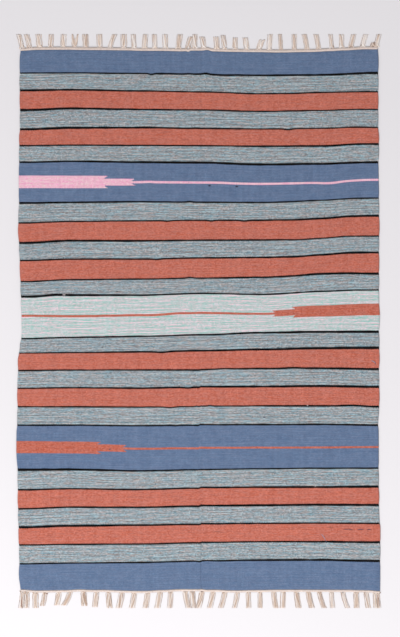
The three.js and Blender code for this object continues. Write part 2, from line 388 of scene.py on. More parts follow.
def add_piece(name, mesh, face_materials, materials):
    """Gives a mesh its materials, a number for each face, and puts it in the scene as a piece."""
    for material in materials:
        mesh.materials.append(material)
    mesh.polygons.foreach_set("material_index", face_materials)
    piece = bpy.data.objects.new(name, mesh)
    bpy.context.scene.collection.objects.link(piece)
    return piece


def woven_faces(rows, columns, under_columns):
    """The faces between each row of points and the next, on the upper side and then on the underside.
    The underside's points come after all those of the upper side, whose rim it shares."""

    def under_point(row, place):
        if row in (0, rows - 1) or place in (0, len(under_columns) - 1):
            return row * columns + under_columns[place]
        return rows * columns + (row - 1) * (len(under_columns) - 2) + place - 1

    def under_edge(row, place):
        """The points from one column of the underside to the next, all of them on the rim."""
        if row in (0, rows - 1):
            start = row * columns
            return list(range(start + under_columns[place], start + under_columns[place + 1] + 1))
        return [under_point(row, place), under_point(row, place + 1)]

    faces_by_row = []
    for row in range(rows - 1):
        start = row * columns
        faces = []
        for point in range(start, start + columns - 1):
            faces.append((point, point + 1, point + 1 + columns, point + columns))
        for place in range(len(under_columns) - 1):
            lower = under_edge(row, place)
            upper = under_edge(row + 1, place)
            faces.append((lower[0], *upper, *lower[:0:-1]))
        faces_by_row.append(faces)
    return faces_by_row


def woven_object(name, weave, floor_places, heights, row_materials, materials):
    """A woven piece as one closed mesh: fine and ribbed on top, coarse underneath, joined at its rim.

    weave holds each point's place across and along, floor_places its X and Y, and heights those of
    the upper side and the underside, all with a row for each course and a column for each step over
    the ribs. The outermost rows and columns are the rim, which both sides share.
    """
    across, along = weave
    x, y = floor_places
    top, under = heights
    rows, columns = x.shape
    rib = COLUMNS_PER_RIB
    far_apart = range(RIBS_PER_UNDER_COLUMN * rib, columns - 2 * rib, RIBS_PER_UNDER_COLUMN * rib)
    under_columns = [0, 1, rib, *far_apart, columns - 1 - rib, columns - 2, columns - 1]
    inner = np.ix_(range(1, rows - 1), under_columns[1:-1])
    points = np.concatenate(
        [
            np.stack([x, y, top], axis=-1).reshape(-1, 3),
            np.stack([x[inner], y[inner], under[inner]], axis=-1).reshape(-1, 3),
        ]
    )
    weave_places = np.concatenate(
        [
            np.stack([across, along], axis=-1).reshape(-1, 2),
            np.stack([across[inner], along[inner]], axis=-1).reshape(-1, 2),
        ]
    )

    faces = []
    face_materials = []
    for row, row_faces in enumerate(woven_faces(rows, columns, under_columns)):
        faces += row_faces
        face_materials += [row_materials[row]] * len(row_faces)

    mesh = bpy.data.meshes.new(name)
    mesh.from_pydata(points * MM, [], faces)
    weave_map = mesh.uv_layers.new(name="weave")
    corner_points = np.zeros(len(mesh.loops), int)
    mesh.loops.foreach_get("vertex_index", corner_points)
    weave_map.data.foreach_set("uv", weave_places[corner_points].astype(np.float32).ravel())
    mesh.shade_smooth()
    return add_piece(name, mesh, face_materials, materials)


Row = namedtuple("Row", "along yarns_meet weft")


def stripe_rows(across):
    """The rows of the cloth's mesh from its lower end up: where each lies along it at the given
    places across, whether two wefts meet there, and the weft between it and the next row."""
    rows = []
    lower_edge = -CLOTH_LENGTH / 2 + 0 * across
    for number, stripe in enumerate(STRIPES):
        is_last = number == len(STRIPES) - 1
        layer = number + UNEVEN_LINE_LAYER
        swell = smooth_noise(across, 0 * across, UNEVEN_LINE_LENGTH, layer)
        half_line = eased(LINE_PLACES, stripe.line_widths, across) / 2
        half_line = half_line * (1 + UNEVEN_LINE_SHARE * swell)
        height = stripe.upper - half_line - lower_edge
        spacing = CREASED_ROW_SPACING if number == CREASED_STRIPE else ROW_SPACING
        steps = max(3, round(height.mean() / spacing))
        insides = [lower_edge + height * share for share in np.linspace(0, 1, steps + 1)]
        if number == 0:
            insides[1:1] = [insides[0] + inset for inset in WOVEN_END_INSETS]
        if is_last:
            insides[-1:-1] = [insides[-1] - inset for inset in reversed(WOVEN_END_INSETS)]
        for step, along in enumerate(insides):
            is_upper = step == len(insides) - 1
            yarns_meet = (step == 0 and number > 0) or (is_upper and not is_last)
            rows.append(Row(along, yarns_meet, "black" if is_upper else stripe.weft))
        lower_edge = stripe.upper + half_line
    return rows


# Each yarn by how far long streaks, single beads and a wide mottle move its tone, and by the colours
# of its plies from dark to pale, first in its cooler lengths and then in its warmer ones
Yarn = namedtuple("Yarn", "streaks beads mottle cool_plies warm_plies")
YARNS = {
    "blue": Yarn(0.9, 0.5, 0.8, ("#4d6485", "#5d7392", "#6d819f"), ("#506281", "#61718e", "#717f9b")),
    "coral": Yarn(0.6, 0.7, 0.3, ("#9f5343", "#b36b5e", "#c88278"), ("#ac4f37", "#c16752", "#d67e6c")),
    "brick": Yarn(0.6, 0.8, 0.3, ("#9d4f3e", "#b16658", "#c57c70"), ("#aa4b33", "#be624c", "#d37865")),
    "heather": Yarn(1.6, 0.7, 0.2, ("#56727d", "#7f9ba6", "#a8c4ce"), ("#736a69", "#9c9391", "#c5bcba")),
    "mint": Yarn(2.0, 0.6, 0.2, ("#81c1b6", "#b5cbca", "#e9d5de"), ("#89b2a9", "#bdbbbc", "#f1c5d0")),
    "pink": Yarn(1.1, 0.7, 0.3, ("#dd9ab2", "#e3b8c1", "#e9d6d0"), ("#e791ba", "#edaec9", "#f3cbd8")),
    "black": Yarn(1.0, 0.5, 0, ("#050507", "#0a0a0d", "#121216"), ("#070606", "#0d0c0c", "#151313")),
    "undyed": Yarn(1.0, 0.5, 0.3, ("#c7b8b1", "#d7c8c1", "#e7d8d1"), ("#cbb8ad", "#dbc8bd", "#ebd8cd")),
}

# Each weft of the cloth by its yarn and the bar that is woven into it
WEFTS = {
    "blue": ("blue", None),
    "coral": ("coral", None),
    "heather": ("heather", None),
    "black": ("black", None),
    "blue with pink bar": ("blue", PINK_BAR),
    "blue with coral bar": ("blue", LOWER_CORAL_BAR),
    "mint with coral bar": ("mint", UPPER_CORAL_BAR),
}

# A streak is a length of yarn between two changes, of tone or of warmth. Its contrast says how
# strongly a course stands out against the course beside it, and its layer is a place in the noise.
Streaks = namedtuple("Streaks", "length contrast layer")
TONE_STREAKS = Streaks(140, 0.8, 0.5)
WARMTH_STREAKS = Streaks(27, 0.25, 7.5)
MOTTLE_LENGTH = 32
# The ribs differ a little in tone, in bands about so wide and long
WARP_TONE_WIDTH = 9
WARP_TONE_LENGTH = 400
WARP_TONE_DEPTH = 0.16
BEAD_RELIEF = 0.35
# Painted shade in the gaps between beads and ribs and painted light on a bead's crest, as shares of the
# weft's own colour
PAINTED_GAP_SHADE = 0.78
PAINTED_CREST_LIGHT = 1.05
# How far the noise has to be from its middle for a yarn to be at its coolest or warmest
WARMTH_SPAN = 0.135
# Places in the noise that are far enough apart to have nothing in common
COURSE_DISTANCE = 1000
# The sockets that take and give colours when two are mixed, by number, as others share their names
COLOUR_A = 6
COLOUR_B = 7
COLOUR_RESULT = 2


def linear(hex_colour):
    """An sRGB hex colour as linear red, green, blue and alpha."""
    channels = [int(hex_colour[start : start + 2], 16) / 255 for start in (1, 3, 5)]
    curve = [c / 12.92 if c <= 0.04045 else ((c + 0.055) / 1.055) ** 2.4 for c in channels]
    return (*curve, 1)


def add_node(tree, kind, inputs=(), **settings):
    """Adds a node with its settings and links, and returns its first output. The inputs are given
    in their order, or by name or number, each as a value or as the socket that is linked to it."""
    node = tree.nodes.new("ShaderNode" + kind)
    for name, value in settings.items():
        setattr(node, name, value)
    given = inputs if isinstance(inputs, dict) else dict(enumerate(inputs))
    for name, value in given.items():
        if isinstance(value, bpy.types.NodeSocket):
            tree.links.new(value, node.inputs[name])
        else:
            node.inputs[name].default_value = value
    return node.outputs[0]


def new_material(name, sheen):
    """A rough cotton material: its node tree and its shader. Cotton has an IOR of about 1.53, and
    loose fibres on its yarns give a faint sheen at low angles."""
    material = bpy.data.materials.new(name)
    material.use_nodes = True
    shader = material.node_tree.nodes["Principled BSDF"]
    shader.inputs["Roughness"].default_value = 0.92
    shader.inputs["IOR"].default_value = 1.53
    shader.inputs["Specular IOR Level"].default_value = 0.12
    shader.inputs["Sheen Weight"].default_value = sheen
    shader.inputs["Sheen Roughness"].default_value = 0.6
    return material, material.node_tree, shader


Weave = namedtuple("Weave", "across along rib_number rib_middle bead_number yarn_middle roundness")


def weave_sockets(tree):
    """Where a point lies in the weave: its place across and along, the rib and the bead of weft that
    it is on, the places of their middles, and how round the yarn is there, from 0 in a gap to 1 on
    its crest. Each bead lies half a bead lower than the one beside it."""
    across = add_node(tree, "SeparateXYZ", [add_node(tree, "UVMap", uv_map="weave")])
    along = across.node.outputs["Y"]
    ribs = add_node(tree, "Math", [across, RIB_PITCH], operation="DIVIDE")
    rib_number = add_node(tree, "Math", [ribs], operation="FLOOR")
    rib_middle = [rib_number, RIB_PITCH, RIB_PITCH / 2]
    rib_middle = add_node(tree, "Math", rib_middle, operation="MULTIPLY_ADD")
    odd = add_node(tree, "Math", [rib_number, 2], operation="FLOORED_MODULO")
    beads = add_node(tree, "Math", [along, BEAD_PITCH], operation="DIVIDE")
    beads = add_node(tree, "Math", [odd, 0.5, beads], operation="MULTIPLY_ADD")
    bead_number = add_node(tree, "Math", [beads], operation="ROUND")
    from_yarn = add_node(tree, "Math", [beads, bead_number], operation="SUBTRACT")
    yarn_middle = add_node(tree, "Math", [from_yarn, -BEAD_PITCH, along], operation="MULTIPLY_ADD")
    from_rib = add_node(tree, "Math", [across, rib_middle], operation="SUBTRACT")
    yarn_curve = add_node(tree, "Math", [from_yarn, math.pi], operation="MULTIPLY")
    yarn_curve = add_node(tree, "Math", [yarn_curve], operation="COSINE")
    rib_curve = add_node(tree, "Math", [from_rib, math.pi / RIB_PITCH], operation="MULTIPLY")
    rib_curve = add_node(tree, "Math", [rib_curve], operation="COSINE")
    roundness = add_node(tree, "Math", [yarn_curve, rib_curve], operation="MULTIPLY")
    return Weave(across, along, rib_number, rib_middle, bead_number, yarn_middle, roundness)


def streak_noise(tree, across, course, streaks):
    """Noise from 0 to 1 in streaks along a course, which share nothing with the course beside it."""
    chance = add_node(tree, "TexWhiteNoise", {"W": course}, noise_dimensions="1D")
    course_place = add_node(tree, "Math", [chance, COURSE_DISTANCE], operation="MULTIPLY")
    yarn_place = add_node(tree, "Math", [across, streaks.length], operation="DIVIDE")
    yarn_place = add_node(tree, "CombineXYZ", [yarn_place, course_place, streaks.layer])
    noise_inputs = {"Vector": yarn_place, "Scale": 1, "Detail": 3, "Roughness": 0.7}
    return add_node(tree, "TexNoise", noise_inputs, noise_dimensions="3D")


def course_streaks(tree, across, course, streaks):
    """The streaks of a course, set off from those of the course beside it."""
    beside = add_node(tree, "Math", [course, 1], operation="ADD")
    beside = streak_noise(tree, across, beside, streaks)
    beside = add_node(tree, "Math", [beside, -0.5], operation="ADD")
    own = streak_noise(tree, across, course, streaks)
    return add_node(tree, "Math", [beside, -streaks.contrast, own], operation="MULTIPLY_ADD")


Grains = namedtuple("Grains", "streaks beads mottle warmth")


def grain_sockets(tree, weave):
    """How the yarns vary, from about 0 to 1. Their tone does so in streaks along each course, from
    bead to bead, and in a mottle over the whole cloth, and their warmth in streaks of its own."""
    course = [weave.bead_number, 1 / BEADS_PER_COURSE]
    course = add_node(tree, "Math", course, operation="MULTIPLY")
    course = add_node(tree, "Math", [course], operation="FLOOR")
    streaks = course_streaks(tree, weave.across, course, TONE_STREAKS)
    bead_place = add_node(tree, "CombineXYZ", [weave.rib_number, weave.bead_number])
    beads = add_node(tree, "TexWhiteNoise", [bead_place], noise_dimensions="2D")
    cloth_place = add_node(tree, "CombineXYZ", [weave.across, weave.along])
    mottle = {"Vector": cloth_place, "Scale": 1 / MOTTLE_LENGTH, "Detail": 3, "Roughness": 0.75}
    mottle = add_node(tree, "TexNoise", mottle, noise_dimensions="2D")
    warmth = course_streaks(tree, weave.across, course, WARMTH_STREAKS)
    warmth = add_node(tree, "MapRange", [warmth, 0.5 - WARMTH_SPAN, 0.5 + WARMTH_SPAN])
    return Grains(streaks, beads, mottle, warmth)


def spread_colours(ramp, colours):
    """Spreads colours evenly over a colour ramp."""
    stops = ramp.node.color_ramp.elements
    while len(stops) < len(colours):
        stops.new(0.5)
    for number, colour in enumerate(colours):
        stops[number].position = number / (len(colours) - 1)
        stops[number].color = linear(colour)


def plies_colour(tree, name, grains):
    """The colour of a yarn: its grains together say which of its plies is on top."""
    yarn = YARNS[name]
    share = (1 - yarn.streaks - yarn.beads - yarn.mottle) / 2
    for grain in ("streaks", "beads", "mottle"):
        share = [getattr(grains, grain), getattr(yarn, grain), share]
        share = add_node(tree, "Math", share, operation="MULTIPLY_ADD")
    shades = []
    for plies in (yarn.cool_plies, yarn.warm_plies):
        shades.append(add_node(tree, "ValToRGB", [share]))
        spread_colours(shades[-1], plies)
    shades = {"Factor": grains.warmth, COLOUR_A: shades[0], COLOUR_B: shades[1]}
    return add_node(tree, "Mix", shades, data_type="RGBA").node.outputs[COLOUR_RESULT]


def bar_mask(tree, bar, weave):
    """1 inside a toothed bar and 0 outside. It changes from yarn to yarn and from rib to rib, as
    the weft turns back round one warp."""
    turned = 1 if bar.selvedge == "left" else -1
    reach = add_node(tree, "Math", [weave.rib_middle, turned], operation="MULTIPLY")
    height = add_node(tree, "Math", [weave.yarn_middle, bar.along], operation="SUBTRACT")
    height = add_node(tree, "Math", [height], operation="ABSOLUTE")
    mask = 0
    for number, step in enumerate(bar.steps):
        is_last = number == len(bar.steps) - 1
        narrower = 0 if is_last else bar.steps[number + 1].half_height
        slope = step.prong / (step.half_height - narrower)
        end = [height, slope, step.end - slope * narrower]
        end = add_node(tree, "Math", end, operation="MULTIPLY_ADD")
        in_reach = add_node(tree, "Math", [reach, end], operation="LESS_THAN")
        in_height = add_node(tree, "Math", [height, step.half_height], operation="LESS_THAN")
        inside = add_node(tree, "Math", [in_height, in_reach], operation="MULTIPLY")
        mask = add_node(tree, "Math", [inside, mask], operation="MAXIMUM")
    return mask


def weft_material(name, yarn, bar):
    """Hand-spun cotton weft, matt, dyed or left pale. To the eye it is long streaks and short flecks
    of its plies' tones, beads with painted shade in the gaps between them and painted light on
    their crests, and ribs of slightly unlike tone."""
    material, tree, shader = new_material(name, sheen=0 if yarn == "black" else 0.1)
    weave = weave_sockets(tree)
    grains = grain_sockets(tree, weave)
    colour = plies_colour(tree, yarn, grains)
    if bar:
        mask = bar_mask(tree, bar, weave)
        bar_colour = plies_colour(tree, bar.yarn, grains)
        colours = {"Factor": mask, COLOUR_A: colour, COLOUR_B: bar_colour}
        colour = add_node(tree, "Mix", colours, data_type="RGBA").node.outputs[COLOUR_RESULT]
    # Painted shade darkens the weft in the gaps between beads and ribs, and painted light brightens
    # their crests
    depth = {"Value": weave.roundness, "To Min": PAINTED_GAP_SHADE, "To Max": PAINTED_CREST_LIGHT}
    tone = add_node(tree, "MapRange", depth)
    warp_place = add_node(tree, "CombineXYZ", [weave.across, weave.along])
    warp_scale = (WARP_TONE_WIDTH, WARP_TONE_LENGTH, 1)
    warp_place = add_node(tree, "VectorMath", [warp_place, warp_scale], operation="DIVIDE")
    warp_tone = add_node(tree, "TexNoise", {"Vector": warp_place, "Scale": 1}, noise_dimensions="2D")
    warp_tone = [warp_tone, WARP_TONE_DEPTH, 1 - WARP_TONE_DEPTH / 2]
    warp_tone = add_node(tree, "Math", warp_tone, operation="MULTIPLY_ADD")
    tone = add_node(tree, "Math", [tone, warp_tone], operation="MULTIPLY")
    toned = add_node(tree, "VectorMath", {"Vector": colour, "Scale": tone}, operation="SCALE")
    relief = add_node(tree, "Bump", {"Height": weave.roundness, "Distance": BEAD_RELIEF * MM})
    tree.links.new(toned, shader.inputs["Base Color"])
    tree.links.new(relief, shader.inputs["Normal"])
    return material


weft_names = list(WEFTS)
weft_materials = [weft_material(f"{name} cotton weft", *WEFTS[name]) for name in weft_names]

rib_steps = round(CLOTH_WIDTH / RIB_PITCH) * COLUMNS_PER_RIB
step_places = np.linspace(-CLOTH_WIDTH / 2, CLOTH_WIDTH / 2, rib_steps + 1)
cloth_rows = stripe_rows(step_places)
rib_of_step, step_in_rib = np.divmod(np.arange(len(step_places)), COLUMNS_PER_RIB)
in_valley = step_in_rib == 0
# Where two wefts meet, the yarn turns from one side of the line to the other at each rib
teeth = np.where(in_valley, 0, np.where(rib_of_step % 2 == 0, 1, -1)) * BEAD_PITCH / 2

cloth_across = np.tile(step_places, (len(cloth_rows), 1))
cloth_along = np.zeros_like(cloth_across)
cloth_x = np.zeros_like(cloth_across)
cloth_y = np.zeros_like(cloth_across)
for number, row in enumerate(cloth_rows):
    along = row.along + row.yarns_meet * teeth
    y = along + course_rise(step_places, row.along.mean())
    if number not in (0, len(cloth_rows) - 1):
        layer = number + WOBBLE_LAYER
        y = y + ROW_WOBBLE * smooth_noise(step_places, 0 * step_places, WOBBLE_LENGTH, layer)
    pull = row.yarns_meet * SELVEDGE_PULL
    left = selvedge_x("left", y) + pull
    right = selvedge_x("right", y) - pull
    cloth_along[number] = along
    cloth_x[number] = left + (right - left) * (step_places / CLOTH_WIDTH + 0.5) + ORIGIN_X
    cloth_y[number] = y + ORIGIN_Y

cloth_under = ripple_lift(cloth_across, cloth_along)
cloth_lift = cloth_under.copy()
uneven_ribs = smooth_noise(cloth_across, cloth_along, UNEVEN_RIBS_LENGTH, UNEVEN_RIBS_LAYER)
rib_depths = RIB_DEPTH * in_valley * (1 + UNEVEN_RIBS_SHARE * uneven_ribs)
cloth_top = cloth_lift + CLOTH_THICKNESS - rib_depths
cloth_top += crease_relief(cloth_across, cloth_along)
for edge, drop in (
    (np.s_[1, :], WOVEN_END_DROP),
    (np.s_[-2, :], WOVEN_END_DROP),
    (np.s_[:, 1], SELVEDGE_DROP),
    (np.s_[:, -2], SELVEDGE_DROP),
):
    cloth_top[edge] -= drop
    cloth_under[edge] += drop
for edge in (np.s_[0, :], np.s_[-1, :]):
    cloth_top[edge] = cloth_lift[edge] + WOVEN_END_HEIGHT
for edge in (np.s_[:, 0], np.s_[:, -1]):
    cloth_top[edge] = cloth_lift[edge] + CLOTH_THICKNESS / 2

cloth = woven_object(
    "woven_cloth",
    (cloth_across, cloth_along),
    (cloth_x, cloth_y),
    (cloth_top, cloth_under),
    [weft_names.index(row.weft) for row in cloth_rows],
    weft_materials,
)
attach(cloth, "root")
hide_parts("field")


# The headings
# A few rows of undyed cotton beyond each end of the cloth, on the same warp, which keep the dyed
# weft from working loose. The upper one is a little wider than the lower one.

HEADING_THICKNESS = 3.4
HEADING_GAP = 0.3
HEADING_WIDTHS = {"top": 9.6, "bottom": 7.8}
# The face of a heading slopes down a little to the seam, and further down to its outer rim
HEADING_RIM_INSET = 3.4
HEADING_RIM_HEIGHT = 1.3
HEADING_SEAM_HEIGHT = 3

heading_material = weft_material("undyed cotton heading", "undyed", None)
for end, width in HEADING_WIDTHS.items():
    outwards = -1 if end == "bottom" else 1
    cloth_row = 0 if end == "bottom" else -1
    steps = [0, HEADING_RIM_INSET, width / 2, width - HEADING_RIM_INSET, width]
    distances = outwards * (HEADING_GAP + np.array(steps))
    if end == "bottom":
        distances = distances[::-1]
    across = np.tile(step_places, (len(distances), 1))
    along = outwards * CLOTH_LENGTH / 2 + distances[:, None] + 0 * across
    x = np.tile(cloth_x[cloth_row], (len(distances), 1))
    y = cloth_y[cloth_row] + distances[:, None]
    lift = np.tile(cloth_lift[cloth_row], (len(distances), 1))
    top = lift + HEADING_THICKNESS - RIB_DEPTH * in_valley
    seam_row = -1 if end == "bottom" else 0
    outer_row = -1 - seam_row
    top[seam_row] = lift[seam_row] + HEADING_SEAM_HEIGHT
    for edge in (np.s_[outer_row, :], np.s_[:, 0], np.s_[:, -1]):
        top[edge] = lift[edge] + HEADING_RIM_HEIGHT
    heading = woven_object(
        f"{end}_heading",
        (across, along),
        (x, y),
        (top, lift),
        [0] * len(distances),
        [heading_material],
    )
    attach(heading, "root")
    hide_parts(f"fringe_{end}")


# The fringes
# The warp's own ends beyond each heading, undyed two-ply cotton, drawn together into loose bunches
# and trimmed along a line. Each bunch turns slowly on itself and lies on the floor, with a few
# single yarns that have come away beside it.

Bunch = namedtuple("Bunch", "root lean short strands fork")
# The bunches from left to right. lean is how far the tip lies to one side of the root, short how
# far it stops before the trim line, and fork how far apart the two halves are at the tip.
TOP_BUNCHES = [
    Bunch(-590, -12, 0, 3, 0),
    Bunch(-566, -10, 0, 3, 0),
    Bunch(-532, -4, 0, 4, 0),
    Bunch(-495, 2, 0, 3, 1),
    Bunch(-453, 1, 0, 4, 0),
    Bunch(-415, 2, 0, 4, 13),
    Bunch(-377, -3, 0, 4, 2),
    Bunch(-331, -1, 0, 4, 1),
    Bunch(-296, 16, 0, 3, 1),
    Bunch(-251, -1, 0, 4, 0),
    Bunch(-217, -2, 0, 3, 0),
    Bunch(-181, 3, 0, 3, 2),
    Bunch(-147, -2, 0, 3, 1),
    Bunch(-112, -2, 0, 3, 0),
    Bunch(-69, 6, 0, 4, 2),
    Bunch(-37, 11, 8, 3, 0),
    Bunch(-14, 0, 0, 3, 1),
    Bunch(16, -6, 8, 3, 1),
    Bunch(60, -2, 8, 4, 1),
    Bunch(85, -5, 3, 3, 1),
    Bunch(120, 0, 11, 3, 2),
    Bunch(160, -6, 11, 4, 1),
    Bunch(199, 13, 18, 4, 6),
    Bunch(234, 4, 0, 3, 0),
    Bunch(273, -3, 0, 2, 1),
    Bunch(318, -1, 0, 3, 0),
    Bunch(360, -9, 0, 3, 1),
    Bunch(399, -9, 0, 3, 1),
    Bunch(443, -5, 0, 2, 1),
    Bunch(476, -1, 0, 3, 3),
    Bunch(507, 10, 0, 3, 0),
    Bunch(545, 12, 0, 3, 1),
    Bunch(581, 0, 28, 2, 1),
    Bunch(592, 9, 0, 3, 0),
]
BOTTOM_BUNCHES = [
    Bunch(-588, -7, 0, 3, 0),
    Bunch(-574, -2, 0, 3, 0),
    Bunch(-546, 1, 0, 4, 0),
    Bunch(-514, -9, 7, 3, 1),
    Bunch(-468, -7, 9, 4, 1),
    Bunch(-429, -22, 9, 4, 0),
    Bunch(-385, 3, 7, 4, 4),
    Bunch(-342, -5, 3, 4, 1),
    Bunch(-302, 5, 0, 4, 5),
    Bunch(-258, -11, 0, 4, 0),
    Bunch(-216, -8, 0, 4, 0),
    Bunch(-172, -7, 0, 4, 1),
    Bunch(-130, -10, 0, 4, 0),
    Bunch(-94, -4, 0, 3, 1),
    Bunch(-46, 12, 0, 4, 0),
    Bunch(-22, 4, 0, 3, 1),
    Bunch(10, -13, 0, 4, 0),
    Bunch(47, -12, 0, 4, 0),
    Bunch(86, -14, 0, 3, 1),
    Bunch(128, -10, 0, 3, 0),
    Bunch(164, 1, 0, 3, 1),
    Bunch(204, 0, 0, 3, 2),
    Bunch(249, 8, 0, 3, 1),
    Bunch(281, -2, 0, 3, 0),
    Bunch(325, 8, 0, 4, 1),
    Bunch(365, 12, 0, 4, 1),
    Bunch(401, 17, 0, 3, 0),
    Bunch(441, 5, 0, 3, 0),
    Bunch(479, 17, 0, 3, 0),
    Bunch(524, 2, 0, 4, 3),
    Bunch(558, 7, 0, 3, 0),
    Bunch(587, 3, 0, 2, 0),
    Bunch(596, 5, 0, 2, 0),
]
TRIM_LINES = {"top": 955, "bottom": 961}
BUNCHES = {"top": TOP_BUNCHES, "bottom": BOTTOM_BUNCHES}

YARN_RADIUS = 1.0
STRAY_RADIUS = 0.45
YARN_SIDES = 6
# A side's map stops just short of the next side, so that the last one keeps to its yarn's number
MAPPED_SIDE = 0.999
YARN_STEPS = 13
# A bunch has so many yarns, and is so wide, for each of its strands
YARNS_PER_STRAND = 3
HALF_WIDTH_PER_STRAND = 1.2
BUNCH_HALF_HEIGHT = 0.8
BUNCH_TURNS = 0.4
# How much further each bunch is turned than the one before
NEXT_BUNCH_TURN = 0.07
# The cut tips are frayed: thinner, and closer to the floor
TIP_RADIUS = 0.6
FRAY_CURVE = 6
STRAYS_PER_BUNCH = 8
STRAY_DISTANCE = 4.5
STRAY_CLEARANCE_SHARE = 0.4
GATHER_HALF_WIDTH = 10
GATHER_LENGTH = 11
ROOT_DEPTH = 3
LEAN_CURVE = 1.4
# A yarn's plies wind round it once in this length, with a groove between them, sunk by the bump and
# darkened by painted shade
PLY_LENGTH = 7
GROOVE_DEPTH = 0.3
PAINTED_GROOVE_SHADE = 0.85
TRIM_UNEVENNESS = 2.2
YARN_WANDER = 0.5
STRAY_WANDER = 1.6
WANDER_LENGTH = 14
# How far apart the bunches and their yarns lie in the noise that makes them uneven, and the places
# in it for a yarn's chance of being short or lying far out, and for its wander
BUNCH_DISTANCE = 17.3
YARN_DISTANCE = 5.1
CHANCE_PLACE = (3.7, 0.5)
WANDER_LAYER = 1.5

YarnPath = namedtuple("YarnPath", "points radius")


def bunch_yarns(end, bunch, number):
    """The paths of the yarns of a bunch on the floor, and of the strays beside it."""
    outwards = -1 if end == "bottom" else 1
    heading_edge = CLOTH_LENGTH / 2 + outwards * end_rise(end, bunch.root)
    start = heading_edge + HEADING_GAP + HEADING_WIDTHS[end] - ROOT_DEPTH
    reach = TRIM_LINES[end] - bunch.short - start
    half_width = bunch.strands * HALF_WIDTH_PER_STRAND
    count = bunch.strands * YARNS_PER_STRAND
    # Every third bunch turns the other way
    turn_way = 1 if number % 3 else -1
    yarns = []
    for yarn in range(count + STRAYS_PER_BUNCH):
        is_stray = yarn >= count
        noise_place = number * BUNCH_DISTANCE + yarn * YARN_DISTANCE
        chance = 0.5 + 0.5 * noise.noise(Vector((noise_place, *CHANCE_PLACE)))
        distance = np.linspace(0, reach - TRIM_UNEVENNESS * chance, YARN_STEPS)
        share = distance / reach
        gathered = eased((0, GATHER_LENGTH), (0, 1), distance)
        radius = STRAY_RADIUS if is_stray else YARN_RADIUS
        if is_stray:
            side = 1 if (yarn + number) % 2 else -1
            in_bunch = side * (half_width + STRAY_DISTANCE * (STRAY_CLEARANCE_SHARE + chance))
            at_root = side * GATHER_HALF_WIDTH * chance
            z = radius + 0 * distance
        else:
            turned = yarn / count + turn_way * BUNCH_TURNS * share + NEXT_BUNCH_TURN * number
            phase = 2 * math.pi * turned
            in_bunch = half_width * np.cos(phase)
            in_bunch = in_bunch + math.copysign(bunch.fork / 2, math.cos(phase[-1])) * share
            at_root = GATHER_HALF_WIDTH * math.cos(2 * math.pi * yarn / count)
            z = radius + BUNCH_HALF_HEIGHT * (1 + np.sin(phase) * gathered)
            frayed = share**FRAY_CURVE
            z = z + (TIP_RADIUS - z) * frayed
            radius = radius + (TIP_RADIUS - radius) * frayed
        wander = [
            noise.noise(Vector((noise_place, place / WANDER_LENGTH, WANDER_LAYER)))
            for place in distance
        ]
        wander = np.array(wander) * (STRAY_WANDER if is_stray else YARN_WANDER)
        beside = at_root + (in_bunch - at_root) * gathered + wander
        x = bunch.root + beside + bunch.lean * share**LEAN_CURVE
        y = outwards * (start + distance)
        yarns.append(YarnPath(np.stack([x + ORIGIN_X, y + ORIGIN_Y, z], axis=-1), radius))
    return yarns


def yarn_tube(path, radius):
    """Rings of points around a path that lies close to the floor. The radius may vary along it."""
    forward = np.gradient(path, axis=0)
    forward /= np.linalg.norm(forward, axis=1)[:, None]
    sideways = np.cross(forward, (0, 0, 1))
    sideways /= np.linalg.norm(sideways, axis=1)[:, None]
    upwards = np.cross(sideways, forward)
    turns = (np.arange(YARN_SIDES) / YARN_SIDES * 2 * math.pi)[None, :, None]
    ring = np.cos(turns) * sideways[:, None] + np.sin(turns) * upwards[:, None]
    return path[:, None] + np.reshape(radius, (-1, 1, 1)) * ring


def yarn_object(name, yarns, yarn_materials, materials):
    """Many closed yarns as one mesh. Its map holds the place along each yarn, and the yarn's number
    with the share of a turn around it."""
    points = []
    faces = []
    face_materials = []
    yarn_places = []
    for yarn_number, yarn in enumerate(yarns):
        base = len(points)
        path = yarn.points
        points.extend(yarn_tube(path, yarn.radius).reshape(-1, 3))
        along = np.linalg.norm(path - path[0], axis=1)
        for step in range(len(path) - 1):
            for side in range(YARN_SIDES):
                after = (side + 1) % YARN_SIDES
                low = base + step * YARN_SIDES
                high = low + YARN_SIDES
                faces.append((low + side, low + after, high + after, high + side))
                turns = (
                    yarn_number + side / YARN_SIDES,
                    yarn_number + (side + MAPPED_SIDE) / YARN_SIDES,
                )
                yarn_places += [
                    (along[step], turns[0]),
                    (along[step], turns[1]),
                    (along[step + 1], turns[1]),
                    (along[step + 1], turns[0]),
                ]
        for step in (0, len(path) - 1):
            ring = [base + step * YARN_SIDES + side for side in range(YARN_SIDES)]
            faces.append(ring[::-1] if step == 0 else ring)
            yarn_places += [(along[step], yarn_number + 0.5)] * YARN_SIDES
        face_materials += [yarn_materials[yarn_number]] * (len(faces) - len(face_materials))
    mesh = bpy.data.meshes.new(name)
    mesh.from_pydata(np.array(points) * MM, [], faces)
    yarn_map = mesh.uv_layers.new(name="yarn")
    yarn_map.data.foreach_set("uv", np.array(yarn_places, np.float32).ravel())
    # The cut ends are flat, and the yarns between them round
    mesh.polygons.foreach_set("use_smooth", [len(face) < YARN_SIDES for face in faces])
    return add_piece(name, mesh, face_materials, materials)


